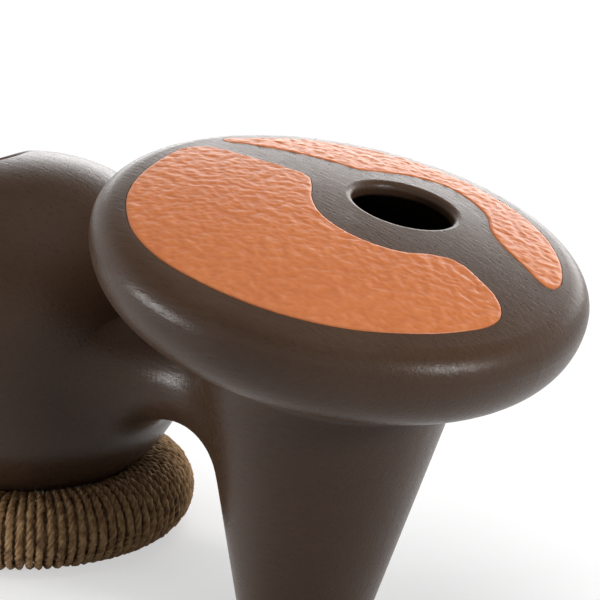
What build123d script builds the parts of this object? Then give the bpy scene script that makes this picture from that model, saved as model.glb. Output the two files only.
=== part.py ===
from build123d import *
import os
from math import atan2, cos, dist, pi, radians, sin, sqrt, tan

os.makedirs("parts", exist_ok=True)

# A two-chamber clay drum. The round pot stands in a loose ring of straw, a short tube joins it to a
# hollow leg, and the leg carries a wide discus-shaped head with an off-centre sound hole.
# Millimetres. +X runs from the pot to the head, +Y is the side away from the player, +Z is up.
# The origin lies on the floor in the middle of the drum's length and width.

# Clay
clay_wall = 7.5
lip_outer_r = 3.5
lip_inner_r = 2.0

# Round pot
pot_r = 90.0
pot_shoulder_fullness = 2.2
pot_hole_r = 24.0
pot_hole_lean = 22.0

# Straw ring under the pot
ring_r = 66.0
ring_tube_r = 20.0
rope_r = 2.2
rope_to_core = 0.15
wrap_lengths = 6
turns_per_length = 4
joint_angle = 215.0
floor_flat = 0.5
pot_to_straw = 0.3

# Bridge tube between the pot and the leg
bridge_r = 25.0
bridge_wall = 7.0
bridge_pot_blend = 20.0
bridge_stem_blend = 20.0
bridge_seam_from_pot = 10.0
bridge_length = 26.0

# Hollow leg
stem_from_pot = 183.5
stem_lean = 7.3
stem_foot_r = 32.7
stem_half_angle = 13.5
stem_floor = 9.0
stem_foot_round = 6.0
stem_head_blend = 12.0
stem_into_head = 34.0

# Discus head
head_r = 120.0
head_height = 182.0
head_lean = 13.9
head_crown = 25.0
rim_top_r = 14.5
rim_under_r = 33.5
underside_slope = 25.0
head_seam_depth = 50.0
hole_r = 25.0
hole_x = 3.5
hole_y = 37.0

# Playing pads, outlines of their recesses seen along the head's axis
pad_recess = 1.3
pad_thickness = 1.05
pad_bed = 0.05
pad_groove = 0.9
front_pad_outline = [
    (-104, -6), (-100, 8.5), (-90, 12.5), (-72, 14.8), (-54, 17.8), (-41, 18), (-33, 11), (-21, -3),
    (-8, -12), (8, -15.5), (24, -13), (37, -5), (45, 6.5), (55, 13.3), (70, 11.5), (87, 5),
    (96.5, -7), (96, -25), (84, -53), (62, -79.5), (33, -96.5), (0, -103.5), (-33, -101), (-62, -86.5),
    (-88, -56),
]
rear_pad_outline = [
    (-97, 38), (-80, 66), (-54, 88.5), (-22, 101.5), (12, 103), (44, 94.5), (68, 79), (85, 60),
    (90.5, 46.5), (86, 42), (70, 46.5), (53, 52), (41, 59), (28, 72.5), (12, 80.5), (-4, 82.5),
    (-19, 74), (-29, 60), (-36, 51), (-47, 47.5), (-66, 40.5), (-88, 30), (-101, 25),
]

# Places that follow from the sizes
ring_z = ring_tube_r - floor_flat
pot_z = ring_z + sqrt((pot_r + ring_tube_r + pot_to_straw) ** 2 - ring_r ** 2)
head_from_pot = stem_from_pot + head_height * tan(radians(stem_lean))
head_reach = head_from_pot + (head_r - rim_top_r) * cos(radians(head_lean)) + rim_top_r
pot_reach = max(pot_r, ring_r + ring_tube_r)
pot_x = (pot_reach - head_reach) / 2
crown_r = ((head_r - rim_top_r) ** 2 + head_crown ** 2 - rim_top_r ** 2) / (2 * (head_crown - rim_top_r))
pot_at = Pos(pot_x, 0, pot_z)
stem_at = Pos(pot_x + stem_from_pot, 0, 0) * Rot(0, stem_lean, 0)
head_at = Pos(pot_x + head_from_pot, 0, head_height) * Rot(0, head_lean, 0)
far = 4 * head_r
head_room_r = 1.125 * head_r


# The pot, its wall line set in from the outside by inset. The shoulder is a little fuller than a ball.
def pot_form(inset):
    r = pot_r - inset
    full = (r + pot_shoulder_fullness) / sqrt(2)
    belly = CenterArc((0, 0), r, -90, 90)
    shoulder = Spline((r, 0), (full, full), (0, r), tangents=[(0, 1), (-1, 0)])
    middle = Line((0, r), (0, -r))
    return pot_at * Rot(0, 0, 90) * revolve(Plane.XZ * make_face([belly, shoulder, middle]), Axis.Z)


# The tube that leads from the middle of the pot to the middle of the leg
def bridge_form(radius):
    length = stem_from_pot + pot_z * tan(radians(stem_lean))
    tube = Cylinder(radius, length, align=(Align.CENTER, Align.CENTER, Align.MIN))
    return pot_at * Rot(0, 90, 0) * tube


# The leg, a cone about its own leaning line, from one height along that line to another
def stem_form(inset, low, high):
    taper = tan(radians(stem_half_angle))
    foot = stem_foot_r - inset / cos(radians(stem_half_angle))
    corners = [(0, low), (foot + taper * low, low), (foot + taper * high, high), (0, high)]
    return stem_at * revolve(Plane.XZ * make_face(Polyline(*corners, close=True)), Axis.Z)


# The discus head about its own line: low dome, tight upper rim, fuller under rim, funnel underside
def head_form(inset):
    slope = radians(underside_slope)
    top_x = head_r - rim_top_r
    under_x = head_r - rim_under_r
    fall = atan2(top_x, crown_r - head_crown)
    dome_edge = (top_x + (rim_top_r - inset) * sin(fall), (rim_top_r - inset) * cos(fall))
    under_r = rim_under_r - inset
    funnel_edge = (under_x + under_r * sin(slope), -under_r * cos(slope))
    neck_x = stem_foot_r
    neck = (neck_x, funnel_edge[1] - (funnel_edge[0] - neck_x) * tan(slope))
    start = (0, head_crown - inset)
    mid = fall / 2
    ring_mid = (crown_r - inset) * sin(mid), head_crown - crown_r + (crown_r - inset) * cos(mid)
    dome = ThreePointArc(start, ring_mid, dome_edge)
    rim_top = TangentArc(dome_edge, (head_r - inset, 0), tangent=(cos(fall), -sin(fall)))
    rim_under = TangentArc((head_r - inset, 0), funnel_edge, tangent=(0, -1))
    rest = Polyline(funnel_edge, neck, (0, neck[1]), start)
    return head_at * revolve(Plane.XZ * make_face([dome, rim_top, rim_under, rest]), Axis.Z)


# Outside of the clay: leg and tube, then the head on the leg, then the pot on the tube, all blended
stem_top = head_height - head_seam_depth + stem_into_head
leg = stem_form(0, -stem_floor, stem_top) - Pos(0, 0, -far) * Box(2 * far, 2 * far, 2 * far)
leg = fillet(leg.edges().group_by(Axis.Z)[0], stem_foot_round)
bridge = bridge_form(bridge_r)
branch = leg + bridge
branch = fillet(new_edges(leg, bridge, combined=branch), bridge_stem_blend)
head = head_form(0)
standing = branch + head
standing = fillet(new_edges(branch, head, combined=standing), stem_head_blend)
pot = pot_form(0)
outside = standing + pot
outside = fillet(new_edges(standing, pot, combined=outside), bridge_pot_blend)

# The two air chambers and the passage between them
leg_room = stem_form(clay_wall, stem_floor, stem_top - clay_wall)
air = head_form(clay_wall) + leg_room + bridge_form(bridge_r - bridge_wall) + pot_form(clay_wall)
clay = outside - air

# The sections that are luted together. The head is parted from the leg square to its own line.
head_room = Cylinder(head_room_r, head_seam_depth, align=(Align.CENTER, Align.CENTER, Align.MIN))
head_room += Cone(0.75 * head_r, head_room_r, head_seam_depth, align=(Align.CENTER, Align.CENTER, Align.MAX))
head_clay = clay & (head_at * head_room)
lower_clay = clay - (head_at * head_room)
seam_pot = pot_x + pot_r + bridge_seam_from_pot
seam_stem = seam_pot + bridge_length
half = Box(2 * far, 2 * far, 2 * far)
pot_clay = lower_clay & (Pos(seam_pot - far, 0, 0) * half)
pot_bowl = pot_clay & (Pos(0, 0, pot_z - far) * half)
pot_shoulder = pot_clay & (Pos(0, 0, pot_z + far) * half)
stem = lower_clay & (Pos(seam_stem + far, 0, 0) * half)
bridge_tube = lower_clay & (Pos(seam_pot + far, 0, 0) * half) & (Pos(seam_stem - far, 0, 0) * half)
head_bowl = head_clay & (head_at * Pos(0, 0, -far) * half)
head_plate = head_clay & (head_at * Pos(0, 0, far) * half)


# A round sound hole along the local Z of a place, with its lips worn round outside and inside
def sound_hole(section, place, radius):
    drill = place * Cylinder(radius, far, align=(Align.CENTER, Align.CENTER, Align.MIN))
    section = section - drill
    section = fillet(hole_lip(section, place, radius, 1), lip_outer_r)
    return fillet(hole_lip(section, place, radius, -1), lip_inner_r)


# The edges round the outer end (side 1) or the inner end (side -1) of such a hole's straight wall
def hole_lip(section, place, radius, side):
    found = []
    for edge in section.edges().filter_by(GeomType.LINE, reverse=True):
        spots = [place.inverse() * Pos(edge @ (step / 8)) for step in range(9)]
        if all(abs(sqrt(spot.position.X ** 2 + spot.position.Y ** 2) - radius) < 0.01 for spot in spots):
            found.append((side * sum(spot.position.Z for spot in spots) / len(spots), edge))
    outermost = max(height for height, edge in found)
    return [edge for height, edge in found if height > outermost - lip_inner_r / 2]


pot_shoulder = sound_hole(pot_shoulder, pot_at * Rot(0, -pot_hole_lean, 0), pot_hole_r)
head_plate = sound_hole(head_plate, head_at * Pos(hole_x, hole_y, 0), hole_r)


# A ball that lies under the head's dome by the given depth
def dome_ball(depth):
    return Pos(0, 0, head_crown - crown_r) * Sphere(crown_r - depth)


# Two arcs that leave one point along one heading and reach another point along another
def two_arcs(a, heading_a, b, heading_b):
    across = b - a
    both = across.dot(heading_a + heading_b)
    turned = 2 * (1 - heading_a.dot(heading_b))
    reach = (sqrt(both ** 2 + turned * across.dot(across)) - both) / turned
    knee_a = a + heading_a * reach
    knee_b = b - heading_b * reach
    middle = (knee_a + knee_b) * 0.5
    first = Edge.make_tangent_arc(a, heading_a, middle)
    return [first, Edge.make_tangent_arc(middle, knee_b - knee_a, b)]


# A clockwise outline through the given points in arcs, set in by inset, raised to a column along the head
def pad_column(points, inset):
    spots = [Vector(*point) for point in points]
    ahead = spots[1:] + spots[:1]
    behind = spots[-1:] + spots[:-1]
    ways = [(b - a).normalized() for a, b in zip(behind, ahead)]
    spots = [spot + Vector(way.Y, -way.X) * inset for spot, way in zip(spots, ways)]
    run = []
    for a, way_a, b, way_b in zip(spots, ways, spots[1:] + spots[:1], ways[1:] + ways[:1]):
        run += two_arcs(a, way_a, b, way_b)
    return extrude(make_face(Wire(run)), 2 * head_crown)


# Each pad is a thin coat on the floor of its recess. A scored groove is left open round it.
pads = []
for outline in (front_pad_outline, rear_pad_outline):
    head_plate = head_plate - head_at * (pad_column(outline, 0) - dome_ball(pad_recess))
    coat = dome_ball(pad_recess - pad_bed - pad_thickness) - dome_ball(pad_recess - pad_bed)
    pads.append(head_at * (pad_column(outline, pad_groove) & coat))
front_playing_pad, rear_playing_pad = pads

# The straw bundle of the ring
core_r = ring_tube_r - 2 * rope_r - rope_to_core
straw_core = Pos(pot_x, 0, ring_z) * Torus(ring_r, core_r)

# The rope goes round the bundle as it goes round the ring. Turns are counted along the whole ring.
wind_r = ring_tube_r - rope_r
all_turns = wrap_lengths * turns_per_length


def rope_point(turn):
    wind = radians(joint_angle) + 2 * pi * turn
    around = 2 * pi * turn / all_turns
    reach = ring_r + wind_r * cos(wind)
    return Vector(pot_x + reach * cos(around), reach * sin(around), ring_z + wind_r * sin(wind))


def rope_heading(turn):
    step = 1e-4
    return (rope_point(turn + step) - rope_point(turn - step)).normalized()


# One length of rope in quarter turns. Its ends run straight for a rope's thickness and meet the next length.
def rope_length(number):
    quarters = [number * turns_per_length + step / 4 for step in range(4 * turns_per_length + 1)]
    spots = [(rope_point(turn), rope_heading(turn)) for turn in quarters]
    first, first_heading = spots[0]
    last, last_heading = spots[-1]
    spots[0] = (first + first_heading * 2 * rope_r, first_heading)
    spots[-1] = (last - last_heading * 2 * rope_r, last_heading)
    run = [Edge.make_line(first, spots[0][0])]
    for (a, heading_a), (b, heading_b) in zip(spots, spots[1:]):
        run += two_arcs(a, heading_a, b, heading_b)
    run.append(Edge.make_line(spots[-1][0], last))
    rope = sweep(Plane(first, z_dir=first_heading) * Circle(rope_r), path=Wire(run))
    return rope - Pos(0, 0, -far) * half


steps = [rope_point(index / 24) for index in range(24 * all_turns)]
pairs = [(a, b) for b in range(len(steps)) for a in range(max(0, b - 60), b - 12)]
least = min((steps[a] - steps[b]).length for a, b in pairs) - 2 * rope_r
print("least gap between turns of the straw rope", round(least, 2), "mm")

named = {
    "pot_bowl": pot_bowl,
    "pot_shoulder": pot_shoulder,
    "bridge_tube": bridge_tube,
    "stem": stem,
    "head_bowl": head_bowl,
    "head_plate": head_plate,
    "front_playing_pad": front_playing_pad,
    "rear_playing_pad": rear_playing_pad,
    "straw_core": straw_core,
}
for number in range(wrap_lengths):
    named[f"straw_wrap_{number + 1}"] = rope_length(number)
for name, piece in named.items():
    export_step(piece, f"parts/{name}.step")
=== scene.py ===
import bmesh
import bpy
import math
import numpy as np
from mathutils import Matrix, Vector, noise


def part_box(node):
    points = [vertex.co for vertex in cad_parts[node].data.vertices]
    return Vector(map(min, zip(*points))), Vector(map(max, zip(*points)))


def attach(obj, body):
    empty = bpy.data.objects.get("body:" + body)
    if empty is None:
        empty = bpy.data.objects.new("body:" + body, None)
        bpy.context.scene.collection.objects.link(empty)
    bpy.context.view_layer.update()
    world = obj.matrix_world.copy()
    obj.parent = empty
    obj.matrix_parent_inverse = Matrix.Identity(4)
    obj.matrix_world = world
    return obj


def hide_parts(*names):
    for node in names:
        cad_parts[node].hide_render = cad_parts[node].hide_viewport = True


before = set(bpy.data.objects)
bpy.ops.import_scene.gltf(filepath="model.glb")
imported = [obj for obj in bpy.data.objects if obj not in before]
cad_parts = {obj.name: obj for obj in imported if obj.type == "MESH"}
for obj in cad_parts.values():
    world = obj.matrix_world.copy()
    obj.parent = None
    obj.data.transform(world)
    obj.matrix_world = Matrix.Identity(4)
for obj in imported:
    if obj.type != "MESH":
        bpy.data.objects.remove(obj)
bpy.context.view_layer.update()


# Straw bundle. The heart of the ring is a fat bundle of dry straw, bent into a circle and tied.
# Its stalks run along the ring with a slow twist, and show only in the gaps of the rope around it.
bundle_low, bundle_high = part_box("straw_core")
ring_middle = (bundle_low + bundle_high) / 2
bundle_r = (bundle_high.z - bundle_low.z) / 2
ring_r = (bundle_high.x - bundle_low.x) / 2 - bundle_r
bundle_rows = 136
bundle_steps = 300
stalks = 34
stalk_twist = 5
stalk_depth = 0.0009
stalk_streaks = 30
# Straw colours at random streaks: the deep one is partly painted shade of the gaps between stalks, the
# palest partly a painted highlight.
bundle_pale = (0.30, 0.180, 0.080)
bundle_deep = (0.10, 0.052, 0.021)
pale_straw_and_highlight = (0.58, 0.40, 0.21)


class Shade:
    """One output of a shader node. Arithmetic on it adds Math nodes to its tree."""

    def __init__(self, tree, socket=None):
        self.tree = tree
        self.socket = socket

    def add(self, kind, settings, sockets, out=0):
        """A node of any kind: its settings or a ramp's stops first, then its sockets' values or links."""
        node = self.tree.nodes.new(kind)
        for name, value in settings.items():
            if name == "stops":
                while len(node.color_ramp.elements) < len(value):
                    node.color_ramp.elements.new(1.0)
                for element, (place, colour) in zip(node.color_ramp.elements, value):
                    element.position = place
                    element.color = (*colour, 1.0)
            else:
                setattr(node, name, value)
        for name, value in sockets.items():
            if isinstance(value, Shade):
                self.tree.links.new(value.socket, node.inputs[name])
            else:
                node.inputs[name].default_value = value
        return Shade(self.tree, node.outputs[out])

    def math(self, operation, first, second):
        return self.add("ShaderNodeMath", {"operation": operation}, {0: first, 1: second})

    def __add__(self, other):
        return self.math("ADD", self, other)

    def __radd__(self, other):
        return self.math("ADD", other, self)

    def __sub__(self, other):
        return self.math("SUBTRACT", self, other)

    def __rsub__(self, other):
        return self.math("SUBTRACT", other, self)

    def __mul__(self, other):
        return self.math("MULTIPLY", self, other)

    def __rmul__(self, other):
        return self.math("MULTIPLY", other, self)


def new_finish(name):
    """A bare material with its surface shader, and the object's own coordinates as a first value."""
    finish = bpy.data.materials.new(name)
    finish.use_nodes = True
    tree = finish.node_tree
    surface = tree.nodes["Principled BSDF"]
    place = Shade(tree).add("ShaderNodeTexCoord", {}, {}, out="Object")
    return finish, surface, place


def feed(surface, name, value):
    """Link a value to a socket of the surface shader."""
    value.tree.links.new(value.socket, surface.inputs[name])


def speckle(place, scale, detail, roughness=0.5):
    """A cloudy pattern from 0 to 1 over some coordinates."""
    sockets = {"Vector": place, "Scale": scale, "Detail": detail, "Roughness": roughness}
    return place.add("ShaderNodeTexNoise", {}, sockets, out="Fac")


def straw_finish(name, pale, deep):
    """Dry straw: streaks along each stalk, some stalks browner, dull with a faint gloss; its palest and
    deepest streaks are partly painted highlight and painted crevice shade.
    """
    finish, surface, place = new_finish(name)
    along = place.add("ShaderNodeAttribute", {"attribute_name": "stalk"}, {}, out="Vector")
    streak = speckle(along, 3.2, 5.0, 0.62)
    stain = speckle(place, 210.0, 3.0)
    grain = speckle(along, 7.5, 4.0)
    tone = streak * 0.7 + stain * 0.9 - 0.3
    stops = [(0.28, deep), (0.52, pale), (0.74, pale_straw_and_highlight)]
    feed(surface, "Base Color", tone.add("ShaderNodeValToRGB", {"stops": stops}, {"Fac": tone}))
    feed(surface, "Roughness", 0.86 - streak * 0.25)
    bump = grain.add("ShaderNodeBump", {}, {"Height": grain, "Strength": 0.7, "Distance": 0.0004})
    feed(surface, "Normal", bump)
    return finish


def new_piece(name, mesh, finish, body):
    """An object of the drum with its finish, carried by a body of the frame."""
    piece = bpy.data.objects.new(name, mesh)
    bpy.context.scene.collection.objects.link(piece)
    mesh.materials.clear()
    mesh.materials.append(finish)
    mesh.shade_smooth()
    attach(piece, body)
    return piece


def vertex_places(mesh):
    """The places of a mesh's vertices, one row each."""
    places = np.empty(3 * len(mesh.vertices))
    mesh.vertices.foreach_get("co", places)
    return places.reshape(-1, 3)


def write_stalk(mesh, around, along):
    """Keep on each vertex where it lies round its stalk and along it, for the streaks."""
    stalk = mesh.attributes.new("stalk", "FLOAT_VECTOR", "POINT")
    stalk.data.foreach_set("vector", np.column_stack([np.cos(around), np.sin(around), along]).ravel())


bundle = bmesh.new()
section = bmesh.ops.create_circle(
    bundle,
    segments=bundle_rows,
    radius=bundle_r,
    matrix=Matrix.Translation(ring_middle + Vector((ring_r, 0, 0))) @ Matrix.Rotation(math.pi / 2, 4, "X"),
)
bmesh.ops.spin(
    bundle,
    geom=section["verts"] + bundle.edges[:],
    cent=ring_middle,
    axis=(0, 0, 1),
    angle=2 * math.pi,
    steps=bundle_steps,
    use_merge=True,
)
bmesh.ops.recalc_face_normals(bundle, faces=bundle.faces)
for vert in bundle.verts:
    spot = vert.co - ring_middle
    around = math.atan2(spot.y, spot.x)
    outward = Vector((spot.x, spot.y, 0)).normalized()
    lift = spot - outward * ring_r
    wind = math.atan2(lift.z, lift.dot(outward))
    ridge = abs(math.sin(0.5 * (stalks * wind + stalk_twist * around)))
    vert.co -= lift.normalized() * stalk_depth * (1 - ridge)
bundle_mesh = bpy.data.meshes.new("straw_bundle")
bundle.to_mesh(bundle_mesh)
bundle.free()
spots = vertex_places(bundle_mesh) - np.array(ring_middle)
bundle_around = np.arctan2(spots[:, 1], spots[:, 0])
bundle_wind = np.arctan2(spots[:, 2], np.hypot(spots[:, 0], spots[:, 1]) - ring_r)
write_stalk(bundle_mesh, stalks * bundle_wind + stalk_twist * bundle_around, stalk_streaks * bundle_around)
bundle_straw = straw_finish("dry_straw_bundle", bundle_pale, bundle_deep)
straw_bundle = new_piece("straw_bundle", bundle_mesh, bundle_straw, "straw_ring")
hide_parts("straw_core")


# Straw rope. Six lengths of three-strand rope, twisted by hand from dry straw, are wound close round
# the bundle. On the inside of the ring the turns crowd and are squeezed thinner, underneath they lie flat,
# and the pot's weight presses them to its round bottom.
rope_lengths = 6
turns_per_length = 16
rope_turns = rope_lengths * turns_per_length
rope_r = 0.0022
rope_overlap = 1.06
# The rope's deep colour is partly painted shade of the gaps between its strands.
rope_pale = (0.44, 0.260, 0.115)
rope_deep = (0.11, 0.052, 0.020)
wind_start = math.radians(215)
floor_flat = 0.0005
tube_r = ring_middle.z + floor_flat
uneven = 0.0009
uneven_rate = 3.1
uneven_round = 0.7
sideways = 0.0006
sideways_rate = 1.7
sideways_round = 2.0
pot_low, pot_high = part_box("pot_bowl")
pot_middle = Vector((ring_middle.x, 0, pot_high.z))
pot_r = pot_middle.x - pot_low.x
seat_rise = 0.0013
seat_wind = math.radians(127)
seat_narrow = 8
seat_gap = 0.0001
strands = 3
strand_r = 0.00125
strand_offset = rope_r - strand_r
strand_pitch = 0.0115
strand_steps_per_turn = 64
strand_sides = 6
strand_rounding = 1
strand_lumps = 0.45
lump_rate = 260
strand_wander = 0.9
wander_rate = 190
streak_rate = 120
streak_apart = 17.0
ahead_step = 0.001


def rope_place(turn):
    """The rope's middle, its direction outwards from the bundle, and how far it is squeezed there."""
    wind = wind_start + 2 * math.pi * turn
    around = 2 * math.pi * turn / rope_turns
    outward = Vector((math.cos(around), math.sin(around), 0))
    away = outward * math.cos(wind) + Vector((0, 0, math.sin(wind)))
    room = 2 * math.pi * (ring_r + (tube_r - rope_r) * math.cos(wind)) / rope_turns
    squeeze = min(1.0, rope_overlap * room / (2 * rope_r))
    dip = noise.noise(Vector((uneven_rate * turn, uneven_round * math.sin(wind), 4.0)))
    sink = uneven * (0.5 + 0.5 * dip)
    rise = seat_rise * max(0.0, math.cos(wind - seat_wind)) ** seat_narrow
    spot = ring_middle + outward * ring_r + away * (tube_r - rope_r * squeeze - sink + rise)
    shift = sideways * noise.noise(Vector((sideways_rate * turn, 9.0, sideways_round * math.cos(wind))))
    return spot + Vector((-outward.y, outward.x, 0)) * shift, away, squeeze


def strand_line(number, strand):
    """The points of one strand of one length of rope, each with its thickness as a share."""
    line = []
    travelled = 0.0
    last = None
    for step in range(turns_per_length * strand_steps_per_turn + 1):
        turn = number * turns_per_length + step / strand_steps_per_turn
        spot, away, squeeze = rope_place(turn)
        ahead = rope_place(turn + ahead_step)[0] - rope_place(turn - ahead_step)[0]
        side = ahead.cross(away).normalized()
        if last is not None:
            travelled += (spot - last).length
        last = spot
        twist = 2 * math.pi * (strand / strands + travelled / strand_pitch)
        lump = noise.noise(Vector((lump_rate * travelled, 7.0 * strand, 3.0 * number)))
        stray = noise.noise(Vector((wander_rate * travelled, 5.0 + 9.0 * strand, 2.0 * number)))
        offset = strand_offset * squeeze * (1 + strand_wander * stray)
        place = spot + (away * math.cos(twist) + side * math.sin(twist)) * offset
        line.append((place, squeeze * (1 + strand_lumps * lump), travelled))
    return line


def strand_tubes(name, lines):
    """A mesh of round strands along lines of points, each point with its share of the radius."""
    curve = bpy.data.curves.new(name, "CURVE")
    curve.dimensions = "3D"
    curve.bevel_depth = strand_r
    curve.bevel_resolution = strand_rounding
    curve.use_fill_caps = True
    for line in lines:
        spline = curve.splines.new("POLY")
        spline.points.add(len(line) - 1)
        for point, (spot, share, _) in zip(spline.points, line):
            point.co = (*spot, 1)
            point.radius = share
    holder = bpy.data.objects.new(name, curve)
    mesh = bpy.data.meshes.new_from_object(holder)
    bpy.data.objects.remove(holder)
    bpy.data.curves.remove(curve)
    mesh.name = name
    return mesh


rope_straw = straw_finish("dry_straw_rope", rope_pale, rope_deep)
for number in range(rope_lengths):
    lines = [strand_line(number, strand) for strand in range(strands)]
    rope_mesh = strand_tubes(f"straw_rope_{number + 1}", lines)
    travelled = np.array([point[2] for line in lines for point in line])
    index = np.arange(len(rope_mesh.vertices))
    rings = len(rope_mesh.vertices) // strand_sides
    ring_of = np.minimum(index // strand_sides, len(travelled) - 1)
    strand_of = index // (rings * strand_sides // strands)
    write_stalk(
        rope_mesh,
        2 * math.pi * (index % strand_sides) / strand_sides,
        streak_rate * travelled[ring_of] + streak_apart * strand_of,
    )
    spots = vertex_places(rope_mesh) - np.array(pot_middle)
    spots *= np.maximum(1, (pot_r + seat_gap) / np.linalg.norm(spots, axis=1))[:, None]
    spots += np.array(pot_middle)
    spots[:, 2] = np.maximum(spots[:, 2], 0)
    rope_mesh.vertices.foreach_set("co", spots.ravel())
    straw_rope = new_piece(f"straw_rope_{number + 1}", rope_mesh, rope_straw, "straw_ring")
    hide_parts(f"straw_wrap_{number + 1}")


# Clay body. Pot, bridge, leg and head are pressed and thrown from dark clay, luted together while soft,
# scraped and burnished with a pebble, and fired to a dark brown-grey satin skin with fine pits and strokes.
clay_stops = [(0.25, (0.048, 0.026, 0.016)), (0.5, (0.062, 0.034, 0.020)), (0.78, (0.078, 0.045, 0.028))]
# The pits are painted near-black: painted shade in them, since the bump only dents them slightly.
pit_painted_shade = (0.018, 0.011, 0.008)
stroke_turn = math.radians(-30)
stroke_stretch = (1.0, 8.0, 8.0)


def clay_finish(name):
    """Burnished clay: cloudy in colour, streaked by the pebble, finely grained, with a few pits painted
    near-black as their shade.
    """
    finish, surface, place = new_finish(name)
    across = place.add(
        "ShaderNodeMapping", {}, {"Vector": place, "Rotation": (0, 0, stroke_turn), "Scale": stroke_stretch}
    )
    cloud = speckle(place, 11.0, 4.0, 0.55)
    strokes = speckle(across, 70.0, 5.0, 0.6)
    grain = speckle(place, 850.0, 2.0)
    nicks = speckle(across, 160.0, 1.0)
    whole = nicks.add(
        "ShaderNodeMapRange", {}, {"Value": nicks, "From Min": 0.16, "From Max": 0.21}, out="Result"
    )
    tone = cloud * 0.75 + strokes * 0.45 - 0.1
    colour = tone.add("ShaderNodeValToRGB", {"stops": clay_stops}, {"Fac": tone})
    # Where the nicks fall, the skin gets the painted shade of the pits, and turns rougher.
    skin = whole.add(
        "ShaderNodeMix",
        {"data_type": "RGBA"},
        {"Factor": whole, "A": (*pit_painted_shade, 1.0), "B": colour},
        out="Result",
    )
    feed(surface, "Base Color", skin)
    surface.inputs["Specular IOR Level"].default_value = 0.22
    feed(surface, "Roughness", 0.14 + strokes * 0.22 + grain * 0.12 + (1 - whole) * 0.3)
    height = cloud * 1.5 + strokes * 0.6 + grain * 0.28 + whole * 0.6
    bump = height.add("ShaderNodeBump", {}, {"Height": height, "Strength": 0.6, "Distance": 0.0005})
    feed(surface, "Normal", bump)
    return finish


burnished_clay = clay_finish("burnished_clay")
for name in ("pot_bowl", "pot_shoulder", "head_bowl", "head_plate"):
    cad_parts[name].material_slots[0].material = burnished_clay


# Clay leg. The hollow cone under the head is thrown in one pull, so its skin runs round without a seam.
# It is the leg's own mesh with the loose triangles merged, creased only where the clay has an edge.
leg_crease = math.radians(30)
merge_distance = 1e-6
leg = bmesh.new()
leg.from_mesh(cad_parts["stem"].data)
bmesh.ops.remove_doubles(leg, verts=leg.verts, dist=merge_distance)
for edge in leg.edges:
    edge.smooth = edge.calc_face_angle(0.0) < leg_crease
leg_mesh = bpy.data.meshes.new("clay_leg")
leg.to_mesh(leg_mesh)
leg.free()
leg_mesh.attributes.remove(leg_mesh.attributes["custom_normal"])
clay_leg = new_piece("clay_leg", leg_mesh, burnished_clay, "drum")
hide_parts("stem")


# Clay bridge. A short hollow tube of the same clay joins the pot to the leg. Soft clay is smoothed over
# both of its luted seams with the thumb, so that pot, bridge and leg run into each other like a saddle.
leg_from_pot = 0.1835
leg_foot = Vector((pot_middle.x + leg_from_pot, 0, 0))
leg_foot_r = 0.0327
leg_lean = math.radians(7.3)
leg_half_angle = math.radians(13.5)
leg_axis = Vector((math.sin(leg_lean), 0, math.cos(leg_lean)))
wall_halvings = 30
bridge_waist_r = 0.0262
bridge_bore_r = 0.018
blend_on_pot = 0.042
blend_on_leg = 0.044
more_below = 0.009
less_on_top = 0.012
more_at_sides = 0.014
wider_waist = 0.004
seam_step = 0.00006
wall_depth = 0.006
slant_step = 0.001
bridge_sides = 128
bridge_rings = 32


def leg_wall(across, turn):
    """Where the leg's wall stands, from the pot's middle, at a distance and turn from the bridge's axis."""
    near, far = 0.0, leg_foot.x - pot_middle.x
    for _ in range(wall_halvings):
        along = (near + far) / 2
        spot = Vector((along, across * math.cos(turn), across * math.sin(turn))) + pot_middle - leg_foot
        height = spot.dot(leg_axis)
        if (spot - leg_axis * height).length > leg_foot_r + height * math.tan(leg_half_angle):
            near = along
        else:
            far = along
    return near


def bridge_line(turn):
    """Four control points of the curve from pot to leg at one turn, along and across the axis.

    The two between lie where the curve's halfway point comes out at the waist.
    """
    below = more_below * max(0.0, -math.sin(turn))
    top = less_on_top * max(0.0, math.sin(turn))
    side = math.cos(turn) ** 2
    on_pot = blend_on_pot + more_at_sides * side - top
    on_leg = blend_on_leg + below - top
    waist = (8 * (bridge_waist_r + wider_waist * side) - on_pot - on_leg) / 6
    start = (math.sqrt((pot_r + seam_step) ** 2 - on_pot**2), on_pot)
    leave = (start[0] + (on_pot - waist) * on_pot / start[0], waist)
    end = (leg_wall(on_leg, turn) - seam_step, on_leg)
    slant = (leg_wall(on_leg, turn) - leg_wall(on_leg - slant_step, turn)) / slant_step
    arrive = (end[0] - (on_leg - waist) * slant, waist)
    return start, leave, arrive, end


def bridge_spot(turn, share):
    """A point of the bridge's outside, at a turn about its axis and a share of the way to the leg."""
    weights = ((1 - share) ** 3, 3 * share * (1 - share) ** 2, 3 * share**2 * (1 - share), share**3)
    points = bridge_line(turn)
    along = sum(weight * point[0] for weight, point in zip(weights, points))
    across = sum(weight * point[1] for weight, point in zip(weights, points))
    return pot_middle + Vector((along, across * math.cos(turn), across * math.sin(turn)))


def bore_spot(turn, share):
    """A point of the bridge's bore, from the pot's wall to the leg's."""
    near = math.sqrt(pot_r**2 - bridge_bore_r**2) - wall_depth
    far = leg_wall(bridge_bore_r, turn) + wall_depth
    along = near + (far - near) * share
    return pot_middle + Vector((along, bridge_bore_r * math.cos(turn), bridge_bore_r * math.sin(turn)))


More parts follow.
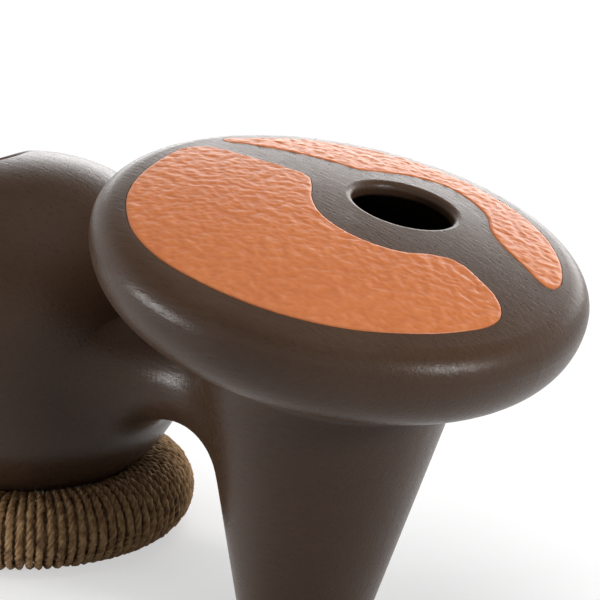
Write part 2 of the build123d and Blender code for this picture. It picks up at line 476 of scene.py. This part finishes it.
bridge = bmesh.new()
bmesh.ops.create_circle(
    bridge,
    segments=bridge_sides,
    radius=bridge_waist_r,
    matrix=Matrix.Translation(pot_middle) @ Matrix.Rotation(math.pi / 2, 4, "Y"),
)
first_edges = bridge.edges[:]
bridge_places = [(bridge_spot, ring / bridge_rings) for ring in range(bridge_rings + 1)]
bridge_places += [(bore_spot, 1), (bore_spot, 0)]
edges = first_edges
for ring, (spot, share) in enumerate(bridge_places):
    if ring:
        grown = bmesh.ops.extrude_edge_only(bridge, edges=edges)["geom"]
        edges = [item for item in grown if isinstance(item, bmesh.types.BMEdge)]
    for vert in {vert for edge in edges for vert in edge.verts}:
        vert.co = spot(math.atan2(vert.co.z - pot_middle.z, vert.co.y), share)
    if ring in (0, bridge_rings):
        for edge in edges:
            edge.smooth = False
bmesh.ops.bridge_loops(bridge, edges=first_edges + edges)
bmesh.ops.recalc_face_normals(bridge, faces=bridge.faces)
bridge_mesh = bpy.data.meshes.new("clay_bridge")
bridge.to_mesh(bridge_mesh)
bridge.free()
clay_bridge = new_piece("clay_bridge", bridge_mesh, burnished_clay, "drum")
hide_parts("bridge_tube")


# Playing pads. Two shallow fields of the head are filled with a coat of orange clay, dabbed on thick
# with a coarse sponge and left rough, so that the fingers grip. A scored groove runs round each coat.
plate_low, plate_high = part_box("head_plate")
head_r = (plate_high.y - plate_low.y) / 2
head_lean = math.radians(13.9)
head_crown = 0.025
rim_top_r = 0.0145
crown_r = ((head_r - rim_top_r) ** 2 + head_crown**2 - rim_top_r**2) / (2 * (head_crown - rim_top_r))
head_x = plate_high.x - (head_r - rim_top_r) * math.cos(head_lean) - rim_top_r
head_z = plate_low.z + head_r * math.sin(head_lean)
head_place = Matrix.Translation((head_x, 0, head_z)) @ Matrix.Rotation(head_lean, 4, "Y")
pad_step = 0.0008
pad_thickness = 0.0016
pad_edge = 0.82
pad_edge_round = 0.0012
pad_bed = 0.00125
pad_spread = 0.00055
pad_relief = 0.00042
pad_edge_relief = 0.3
pad_dabs = ((210, 1.0, (0, 0, 0)), (430, 0.6, (5, 1, 0)), (900, 0.2, (0, 7, 3)))
# How far the relief paints the crests paler (painted light) and the dimples deeper (painted shade).
painted_crest_light_middle = 0.5
painted_crest_light_swing = 0.4
top_facing = 0.7
side_facing = 0.5
no_length = 1e-18
# The pad's orange from deep to pale: random mottling, plus painted shade in the dimples and painted light
# on the crests.
pad_stops = [(0.2, (0.46, 0.126, 0.032)), (0.5, (0.55, 0.162, 0.046)), (0.85, (0.64, 0.218, 0.074))]


def dome_height(x, y):
    """Height of the head's dome over the rim's plane."""
    return head_crown - crown_r + np.sqrt(crown_r**2 - x**2 - y**2)


def top_outline(node):
    """The upper edge of a pad as a loop of points in the head's own plane."""
    copy = bmesh.new()
    copy.from_mesh(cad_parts[node].data)
    bmesh.ops.remove_doubles(copy, verts=copy.verts, dist=merge_distance)
    copy.transform(head_place.inverted())
    rim = [
        edge
        for edge in copy.edges
        if len(edge.link_faces) == 2
        and max(face.normal.z for face in edge.link_faces) > top_facing
        and abs(min(face.normal.z for face in edge.link_faces)) < side_facing
    ]
    ahead = {}
    for edge in rim:
        for vert in edge.verts:
            ahead.setdefault(vert, []).append(edge.other_vert(vert))
    start = rim[0].verts[0]
    loop = [start, ahead[start][0]]
    while loop[-1] is not start:
        after = [vert for vert in ahead[loop[-1]] if vert is not loop[-2]]
        loop.append(after[0])
    outline = np.array([vert.co.xy for vert in loop[:-1]])
    copy.free()
    return outline


def widened(outline, away):
    """An outline moved outwards all round."""
    run = np.roll(outline, -1, axis=0) - np.roll(outline, 1, axis=0)
    side = np.column_stack([run[:, 1], -run[:, 0]]) / np.hypot(run[:, 0], run[:, 1])[:, None]
    swept = outline[:, 0] * np.roll(outline[:, 1], -1) - np.roll(outline[:, 0], -1) * outline[:, 1]
    return outline + side * away * np.sign(swept.sum())


def outline_distance(outline, verts):
    """How far vertices lie outside an outline, negative inside, and the nearest points on it."""
    spots = np.array([vert.co.xy for vert in verts])
    ends = np.roll(outline, -1, axis=0)
    best = np.full(len(spots), np.inf)
    nearest = np.zeros_like(spots)
    inside = np.zeros(len(spots), bool)
    for a, b, way in zip(outline, ends, ends - outline):
        share = np.clip(((spots - a) @ way) / max(way @ way, no_length), 0, 1)
        foot = a + share[:, None] * way
        gap = np.hypot(*(spots - foot).T)
        closer = gap < best
        best[closer] = gap[closer]
        nearest[closer] = foot[closer]
        if a[1] != b[1]:
            crosses = (a[1] > spots[:, 1]) != (b[1] > spots[:, 1])
            inside ^= crosses & (spots[:, 0] < a[0] + (spots[:, 1] - a[1]) * way[0] / way[1])
    return np.where(inside, -best, best), nearest


def pad_finish(name):
    """Rough orange clay with random mottling, paler on the crests as painted light and deeper in the
    dimples as painted shade.
    """
    finish, surface, place = new_finish(name)
    cloud = speckle(place, 22.0, 3.0)
    grain = speckle(place, 420.0, 4.0, 0.6)
    # Painted light and shade from the relief: crests paler, dimples deeper.
    crest = place.add("ShaderNodeAttribute", {"attribute_name": "crest"}, {}, out="Fac")
    tone = crest * 0.55 + cloud * 0.35 + grain * 0.35 - 0.12
    feed(surface, "Base Color", tone.add("ShaderNodeValToRGB", {"stops": pad_stops}, {"Fac": tone}))
    surface.inputs["Specular IOR Level"].default_value = 0.45
    feed(surface, "Roughness", 0.3 + grain * 0.2)
    bump = grain.add("ShaderNodeBump", {}, {"Height": grain, "Strength": 0.4, "Distance": 0.0004})
    feed(surface, "Normal", bump)
    return finish


def dab_height(x, y):
    """The dabbed relief of a pad, about -1 in a dimple and 1 on a crest."""
    spot = Vector((x, y, 0.0))
    return sum(share * noise.noise(spot * rate + Vector(shift)) for rate, share, shift in pad_dabs)


rough_orange_clay = pad_finish("rough_orange_clay")
for node in ("front_playing_pad", "rear_playing_pad"):
    outline = widened(top_outline(node), pad_spread)
    middle = (outline.min(0) + outline.max(0)) / 2
    half = (outline.max(0) - outline.min(0)) / 2 + pad_step
    coat = bmesh.new()
    bmesh.ops.create_grid(
        coat,
        x_segments=round(2 * half[0] / pad_step),
        y_segments=round(2 * half[1] / pad_step),
        size=1.0,
        matrix=Matrix.Translation((*middle, 0)) @ Matrix.Diagonal((*half, 1, 1)),
    )
    gap = outline_distance(outline, coat.verts)[0]
    spare = [vert for vert, away in zip(coat.verts, gap) if away > pad_step / 2]
    bmesh.ops.delete(coat, geom=spare, context="VERTS")
    bmesh.ops.delete(coat, geom=[vert for vert in coat.verts if not vert.link_faces], context="VERTS")
    edge_verts = [vert for vert in coat.verts if vert.is_boundary]
    for vert, foot in zip(edge_verts, outline_distance(outline, edge_verts)[1]):
        vert.co.xy = foot
    kept = bmesh.ops.extrude_face_region(coat, geom=coat.faces[:], use_keep_orig=True)
    upper = [item for item in kept["geom"] if isinstance(item, bmesh.types.BMVert)]
    gap = outline_distance(outline, upper)[0]
    for vert in coat.verts:
        vert.co.z = dome_height(*vert.co.xy) - pad_bed
    for vert, away in zip(upper, gap):
        inward = min(1.0, max(0.0, -away) / pad_edge_round)
        swell = math.sqrt(1 - (1 - inward) ** 2)
        relief = pad_relief * (pad_edge_relief + (1 - pad_edge_relief) * swell)
        vert.co.z += pad_thickness * (pad_edge + (1 - pad_edge) * swell) + relief * dab_height(*vert.co.xy)
    bmesh.ops.recalc_face_normals(coat, faces=coat.faces)
    # The relief's height per vertex, which the finish turns into painted light on crests and painted shade
    # in dimples.
    painted_crest_lights = [painted_crest_light_middle + painted_crest_light_swing * dab_height(*vert.co.xy) for vert in coat.verts]
    coat.transform(head_place)
    coat_mesh = bpy.data.meshes.new(node + "_coat")
    coat.to_mesh(coat_mesh)
    coat.free()
    coat_mesh.attributes.new("crest", "FLOAT", "POINT").data.foreach_set("value", painted_crest_lights)
    pad = new_piece(node + "_coat", coat_mesh, rough_orange_clay, "drum")
    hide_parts(node)


# Studio. A wide sheet of grey paper that glows white to the camera and in reflections, with a white wall
# around it that dims upwards.
# Four soft lamps: one overhead, a long one behind that gives the clay its sheen, and a small one each side.
floor_half = 6.0
paper_grey = 0.5
paper_glow = 0.55
sky_light = 0.12
wall_top = 0.15
wall_fades_from = 0.3
wall_fades_to = 0.8
floor_plain = bmesh.new()
bmesh.ops.create_grid(floor_plain, x_segments=1, y_segments=1, size=floor_half)
floor_mesh = bpy.data.meshes.new("floor")
floor_plain.to_mesh(floor_mesh)
floor_plain.free()
floor = bpy.data.objects.new("floor", floor_mesh)
bpy.context.scene.collection.objects.link(floor)


def shows(first):
    """1 for rays that show the background, seen straight, mirrored or through, and 0 for rays of light."""
    ways = [
        first.add("ShaderNodeLightPath", {}, {}, out=way)
        for way in ("Is Camera Ray", "Is Glossy Ray", "Is Transmission Ray")
    ]
    return ways[0] + ways[1] + ways[2]


paper, paper_surface, paper_place = new_finish("white_paper")
paper_surface.inputs["Base Color"].default_value = (paper_grey, paper_grey, paper_grey, 1)
paper_surface.inputs["Roughness"].default_value = 0.9
paper_surface.inputs["Specular IOR Level"].default_value = 0.0
paper_surface.inputs["Emission Strength"].default_value = paper_glow
feed(paper_surface, "Emission Color", shows(paper_place))
floor_mesh.materials.append(paper)

world = bpy.data.worlds.new("studio")
bpy.context.scene.world = world
world.use_nodes = True
sky = world.node_tree.nodes["Background"]
sky.inputs["Color"].default_value = (1, 1, 1, 1)
first = Shade(world.node_tree)
towards = first.add("ShaderNodeTexCoord", {}, {}, out="Generated")
upwards = first.add("ShaderNodeSeparateXYZ", {}, {"Vector": towards}, out="Z")
wall = first.add(
    "ShaderNodeMapRange",
    {"interpolation_type": "SMOOTHSTEP"},
    {
        "Value": upwards,
        "From Min": wall_fades_from,
        "From Max": wall_fades_to,
        "To Min": 1.0,
        "To Max": wall_top,
    },
    out="Result",
)
feed(sky, "Strength", sky_light + (wall - sky_light) * shows(first))


def soft_lamp(name, place, aim, size, power):
    """A round-edged soft lamp that the camera doesn't see."""
    lamp = bpy.data.lights.new(name, "AREA")
    lamp.shape = "ELLIPSE"
    lamp.size, lamp.size_y = size
    lamp.energy = power
    holder = bpy.data.objects.new(name, lamp)
    holder.location = place
    holder.rotation_euler = (Vector(aim) - Vector(place)).to_track_quat("-Z", "Y").to_euler()
    holder.visible_camera = False
    bpy.context.scene.collection.objects.link(holder)
    return holder


top_lamp = soft_lamp("top_lamp", (0.08, 0.12, 1.65), (0.02, 0, 0.1), (1.7, 1.25), 18.5)
top_lamp.visible_glossy = False
soft_lamp("back_lamp", (-0.66, 1.35, 0.43), (0, 0, 0.18), (1.9, 0.56), 10)
soft_lamp("left_lamp", (-0.92, -1.08, 0.12), (-0.05, 0, 0.16), (0.68, 0.24), 10)
soft_lamp("right_lamp", (1.45, 0.12, 0.62), (0, 0, 0.14), (0.34, 0.28), 10.5)


# Camera. It stands where the photograph was taken from, with a long lens, and looks at the drum from a
# little above. Its place is counted from the spot on the floor under the pot's middle.
camera_turn = math.radians(39.15)
camera_rise = math.radians(17.56)
camera_distance = 1.7
camera_right = 0.14114
camera_up = 0.11616
right = Vector((math.cos(camera_turn), math.sin(camera_turn), 0))
back = Vector(
    (
        math.sin(camera_turn) * math.cos(camera_rise),
        -math.cos(camera_turn) * math.cos(camera_rise),
        math.sin(camera_rise),
    )
)
up = back.cross(right)
lens = bpy.data.cameras.new("camera")
lens.sensor_width = 36
lens.lens = 192.9
camera = bpy.data.objects.new("camera", lens)
stand = Vector((ring_middle.x, 0, 0)) + right * camera_right + up * camera_up + back * camera_distance
camera.matrix_world = Matrix.Translation(stand) @ Matrix((right, up, back)).transposed().to_4x4()
bpy.context.scene.collection.objects.link(camera)
bpy.context.scene.camera = camera
bpy.context.scene.view_settings.view_transform = "Standard"
